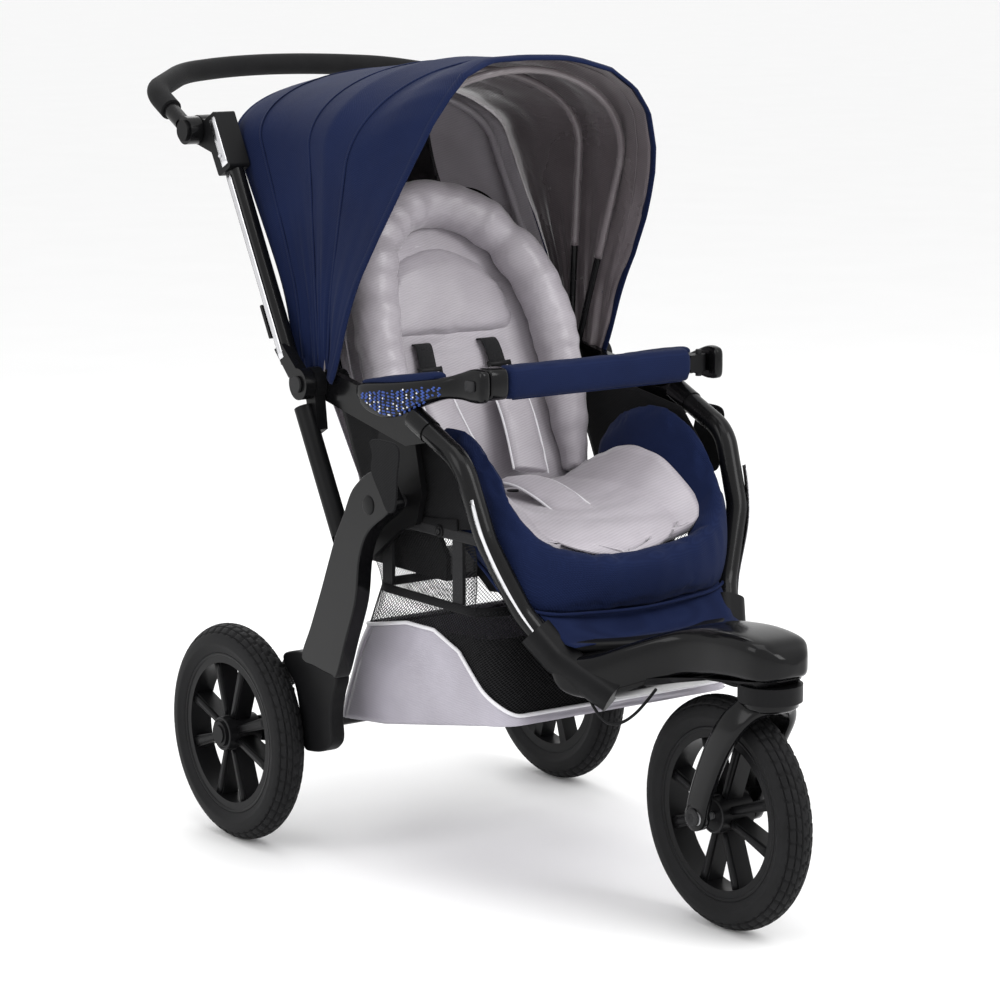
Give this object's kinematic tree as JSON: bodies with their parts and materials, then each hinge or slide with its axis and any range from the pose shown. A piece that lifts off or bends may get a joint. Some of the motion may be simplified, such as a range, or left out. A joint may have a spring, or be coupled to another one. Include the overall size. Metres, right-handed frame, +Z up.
{
  "type": "folding pushchair",
  "caption": "Three-wheel folding pushchair with canopy, padded seat, bumper bar, basket, swivel front wheel and tilting handlebar.",
  "frame": {"origin": "on the floor under the middle of the bounding box", "axes": "+X to the child's left, +Y to the rear where the handle is, +Z up"},
  "size_m": [0.606, 1.202, 1.0619],
  "materials": {
    "gloss_black": "gloss",
    "matte_black": "matte",
    "rim_plastic": "matte",
    "black_tube": "satin",
    "steel": "satin",
    "bush_plastic": "matte",
    "tyre_rubber": "matte",
    "spring_rubber": "matte",
    "foam_grip": "matte",
    "navy_fabric": "matte",
    "grey_fabric": "satin",
    "black_fabric": "matte",
    "webbing": "matte",
    "basket_fabric": "satin"
  },
  "bodies": {
    "chassis": {"side_arms": "gloss_black", "hinge_plates": "matte_black", "lower_struts": "black_tube", "hinge_pins": "steel", "front_legs": "black_tube", "leg_sockets": "matte_black", "front_housing_shell": "gloss_black", "front_housing_base": "matte_black", "steering_bush": "bush_plastic", "footrest_strip": "gloss_black", "seat_pan": "matte_black", "seat_cushion": "grey_fabric", "seat_rims": "navy_fabric", "side_panels": "black_fabric", "leg_panel": "navy_fabric", "basket": "basket_fabric", "basket_rails": "matte_black", "bumper_brackets": "gloss_black", "armrest_covers": "navy_fabric", "crotch_strap": "grey_fabric", "buckle_body": "matte_black", "lock_cable": "spring_rubber", "canopy_rear_bow": "black_tube", "canopy_fabric": "navy_fabric"},
    "rear_frame": {"rear_legs": "matte_black", "suspension_housings": "matte_black", "rear_axle_tube": "black_tube", "suspension_springs": "spring_rubber"},
    "brake": {"brake_pedal": "matte_black"},
    "rear_left_arm": {"suspension_arm_left": "matte_black"},
    "rear_right_arm": {"suspension_arm_right": "matte_black"},
    "rear_left_wheel": {"rear_left_rim": "rim_plastic", "rear_left_tyre": "tyre_rubber", "rear_left_hub_cap": "matte_black"},
    "rear_right_wheel": {"rear_right_rim": "rim_plastic", "rear_right_tyre": "tyre_rubber", "rear_right_hub_cap": "matte_black"},
    "front_fork": {"fork": "gloss_black", "fork_stem_and_axle": "steel"},
    "front_wheel": {"front_rim": "rim_plastic", "front_tyre": "tyre_rubber"},
    "backrest": {"backrest_board": "matte_black", "backrest_pad": "grey_fabric", "head_bolster": "grey_fabric", "shoulder_belts": "webbing"},
    "buckle_release": {"buckle_button": "matte_black"},
    "legrest": {"legrest_board": "matte_black", "legrest_pad": "navy_fabric"},
    "handle_frame": {"handle_tubes": "black_tube", "handle_sleeves": "matte_black"},
    "fold_latch": {"fold_latches": "matte_black"},
    "handlebar": {"handlebar": "black_tube", "handle_grip": "foam_grip"},
    "handle_button_left": {"handle_button_left": "matte_black"},
    "handle_button_right": {"handle_button_right": "matte_black"},
    "canopy_middle": {"canopy_mid_bow": "black_tube"},
    "canopy_front": {"canopy_front_bow": "black_tube"},
    "bumper": {"bumper_bar": "black_tube", "bumper_cover": "navy_fabric"},
    "bumper_catch": {"bumper_release": "gloss_black"}
  },
  "joints": [
    {"name": "fold", "type": "hinge", "parent": "chassis", "child": "handle_frame", "pos_m": [0, 0.12775, 0.639], "axis": [1, 0, 0], "range_deg": [0, 125]},
    {"name": "rear_leg_fold", "type": "hinge", "parent": "chassis", "child": "rear_frame", "pos_m": [0, -0.04925, 0.505], "axis": [1, 0, 0], "range_deg": [-68, 0]},
    {"name": "handle_tilt", "type": "hinge", "parent": "handle_frame", "child": "handlebar", "pos_m": [0, 0.36575, 0.958], "axis": [1, 0, 0], "range_deg": [-60, 35]},
    {"name": "handle_button_left_press", "type": "slide", "parent": "handlebar", "child": "handle_button_left", "axis": [-1, 0, 0], "range_m": [0, 0.0035], "stiffness_N_per_m": 900, "springref_m": -0.001},
    {"name": "handle_button_right_press", "type": "slide", "parent": "handlebar", "child": "handle_button_right", "axis": [1, 0, 0], "range_m": [0, 0.0035], "stiffness_N_per_m": 900, "springref_m": -0.001},
    {"name": "fold_latch_slide", "type": "slide", "parent": "handle_frame", "child": "fold_latch", "axis": [0, 0.4802, 0.8771], "range_m": [0, 0.012], "stiffness_N_per_m": 300, "springref_m": -0.004},
    {"name": "canopy_close", "type": "hinge", "parent": "chassis", "child": "canopy_front", "pos_m": [0, 0.12775, 0.639], "axis": [-1, 0, 0], "range_deg": [0, 44], "deforming": ["canopy_fabric"]},
    {"name": "canopy_middle_close", "type": "hinge", "parent": "chassis", "child": "canopy_middle", "pos_m": [0, 0.12775, 0.639], "axis": [-1, 0, 0], "range_deg": [0, 30.8]},
    {"name": "recline", "type": "hinge", "parent": "chassis", "child": "backrest", "pos_m": [0, 0.05075, 0.455], "axis": [1, 0, 0], "range_deg": [-50, 0]},
    {"name": "legrest_lift", "type": "hinge", "parent": "chassis", "child": "legrest", "pos_m": [0, -0.12325, 0.424], "axis": [1, 0, 0], "range_deg": [-15, 0]},
    {"name": "bumper_gate", "type": "hinge", "parent": "chassis", "child": "bumper", "pos_m": [0.17, -0.18275, 0.6675], "axis": [0, 0, -1], "range_deg": [-90, 0]},
    {"name": "bumper_catch_press", "type": "slide", "parent": "chassis", "child": "bumper_catch", "axis": [1, 0, 0], "range_m": [0, 0.003], "stiffness_N_per_m": 900, "springref_m": -0.001},
    {"name": "buckle_press", "type": "slide", "parent": "chassis", "child": "buckle_release", "axis": [0, 0, -1], "range_m": [0, 0.0022], "stiffness_N_per_m": 900, "springref_m": -0.001},
    {"name": "front_swivel", "type": "hinge", "parent": "chassis", "child": "front_fork", "pos_m": [0, -0.53225, 0.33], "axis": [0, 0, 1], "continuous": true},
    {"name": "front_wheel_spin", "type": "hinge", "parent": "front_fork", "child": "front_wheel", "pos_m": [0, -0.45425, 0.1485], "axis": [1, 0, 0], "continuous": true},
    {"name": "rear_left_suspension", "type": "hinge", "parent": "rear_frame", "child": "rear_left_arm", "pos_m": [0, 0.10775, 0.17], "axis": [1, 0, 0], "range_deg": [-3, 3], "stiffness_Nm_per_rad": 400, "springref_deg": -1.29, "deforming": ["suspension_springs"]},
    {"name": "rear_right_suspension", "type": "hinge", "parent": "rear_frame", "child": "rear_right_arm", "pos_m": [0, 0.10775, 0.17], "axis": [1, 0, 0], "range_deg": [-3, 3], "stiffness_Nm_per_rad": 400, "springref_deg": -1.29},
    {"name": "rear_left_wheel_spin", "type": "hinge", "parent": "rear_left_arm", "child": "rear_left_wheel", "pos_m": [0.2715, 0.26075, 0.1485], "axis": [1, 0, 0], "continuous": true},
    {"name": "rear_right_wheel_spin", "type": "hinge", "parent": "rear_right_arm", "child": "rear_right_wheel", "pos_m": [-0.2715, 0.26075, 0.1485], "axis": [1, 0, 0], "continuous": true},
    {"name": "brake_press", "type": "hinge", "parent": "rear_frame", "child": "brake", "pos_m": [0, 0.22875, 0.152], "axis": [1, 0, 0], "range_deg": [-18, 0]}
  ],
  "couplings": [
    {"joint": "rear_leg_fold", "follows": "fold", "ratio": -0.544},
    {"joint": "canopy_middle_close", "follows": "canopy_close", "ratio": 0.7}
  ]
}
